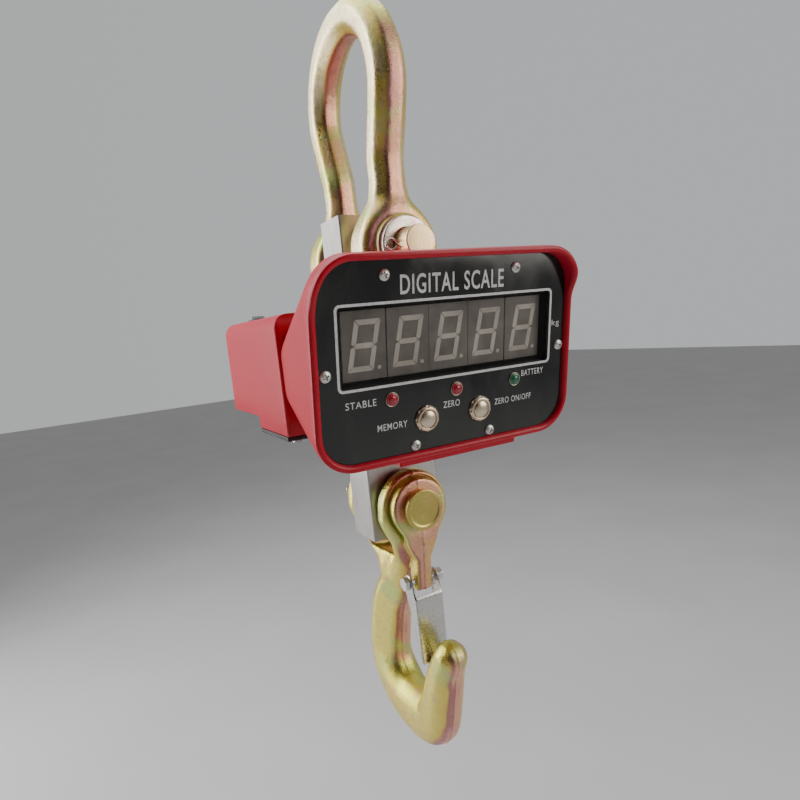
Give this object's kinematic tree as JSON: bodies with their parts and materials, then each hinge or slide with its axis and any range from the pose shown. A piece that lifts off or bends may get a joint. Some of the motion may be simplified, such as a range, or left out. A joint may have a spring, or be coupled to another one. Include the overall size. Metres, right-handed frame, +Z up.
{
  "type": "hanging digital crane scale",
  "caption": "Hanging scale with a bow shackle above, a boxed digital display round a flat load cell, and a swinging clevis hook with a sprung safety latch below.",
  "frame": {"origin": "the hanging point, on the inside of the shackle bow at its crown, on the load line", "axes": "+Z up along the load line, -Y the way the display faces, +X to the right of someone reading the display"},
  "size_m": [0.19, 0.2477, 0.5635],
  "materials": {
    "forged_zinc": "yellow-zinc plated forging, iridescent, satin",
    "pin_zinc": "yellow-zinc plated turned steel, satin",
    "cell_steel": "machined and nickel plated, satin",
    "bright_zinc": "bright zinc plated",
    "fastener": "bright plated",
    "nickel": "satin nickel with a warm tint",
    "housing_red": "red enamel, matte on the flare and glossy on the rim",
    "panel_black": "glossy black with white print",
    "window_smoke": "smoked clear pane",
    "digit_grey": "grey face with unlit segments",
    "board_green": "green circuit board",
    "rubber_black": "matte black",
    "plastic_black": "matte black",
    "lamp_red": "translucent red",
    "lamp_green": "translucent green",
    "battery_case": "dark grey case",
    "cable_grey": "grey jacket",
    "cable_black": "black jacket",
    "cable_red": "red jacket"
  },
  "bodies": {
    "shackle": {"shackle": "forged_zinc", "shackle_pin": "pin_zinc", "shackle_washer": "pin_zinc", "shackle_cotter": "bright_zinc"},
    "scale": {"load_cell": "cell_steel", "gauge_covers": "bright_zinc", "front_housing": "housing_red", "rear_housing": "housing_red", "top_gasket": "rubber_black", "base_plate": "plastic_black", "base_screws": "fastener", "housing_screws": "fastener", "cell_bracket_left": "bright_zinc", "cell_bracket_right": "bright_zinc", "bracket_screws": "fastener", "front_panel": "panel_black", "window": "window_smoke", "panel_screws": "fastener", "digit_1": "digit_grey", "digit_2": "digit_grey", "digit_3": "digit_grey", "digit_4": "digit_grey", "digit_5": "digit_grey", "display_board": "board_green", "display_standoffs": "nickel", "led_holders": "nickel", "steady_led": "lamp_red", "tare_led": "lamp_red", "charge_led": "lamp_green", "recall_switch": "nickel", "tare_switch": "nickel", "button_nuts": "fastener", "main_board": "board_green", "board_standoffs": "nickel", "battery": "battery_case", "battery_strap": "bright_zinc", "strap_screws": "fastener", "power_switch": "plastic_black", "charge_socket": "plastic_black", "socket_nut": "fastener", "display_cable": "cable_grey", "cell_cable": "cable_black", "battery_cable": "cable_red"},
    "hook": {"hook": "forged_zinc", "hook_pin": "pin_zinc", "hook_washer": "pin_zinc", "hook_cotter": "bright_zinc", "latch_bolt": "fastener", "latch_nut": "fastener"},
    "latch": {"latch": "bright_zinc", "latch_spring": "bright_zinc"},
    "recall_button": {"recall_cap": "nickel"},
    "tare_button": {"tare_cap": "nickel"},
    "power_switch_rocker": {"power_rocker": "plastic_black"}
  },
  "joints": [
    {"name": "shackle_swing", "type": "hinge", "parent": "shackle", "child": "scale", "pos_m": [0, 0, -0.154], "axis": [0, 1, 0], "range_deg": [-90, 90]},
    {"name": "hook_swing", "type": "hinge", "parent": "scale", "child": "hook", "pos_m": [0, 0, -0.341], "axis": [0, 1, 0], "range_deg": [-90, 90]},
    {"name": "latch_swing", "type": "hinge", "parent": "hook", "child": "latch", "pos_m": [0, -0.03, -0.399], "axis": [1, 0, 0], "range_deg": [0, 40], "stiffness_Nm_per_rad": 0.08, "springref_deg": -34.38},
    {"name": "recall_press", "type": "slide", "parent": "scale", "child": "recall_button", "axis": [0, 0.9866, 0.1633], "range_m": [0, 0.0015], "stiffness_N_per_m": 800, "springref_m": -0.001},
    {"name": "tare_press", "type": "slide", "parent": "scale", "child": "tare_button", "axis": [0, 0.9866, 0.1633], "range_m": [0, 0.0015], "stiffness_N_per_m": 800, "springref_m": -0.001},
    {"name": "power_rock", "type": "hinge", "parent": "scale", "child": "power_switch_rocker", "pos_m": [-0.062, 0.097, -0.1905], "axis": [-1, 0, 0], "range_deg": [0, 20]}
  ]
}
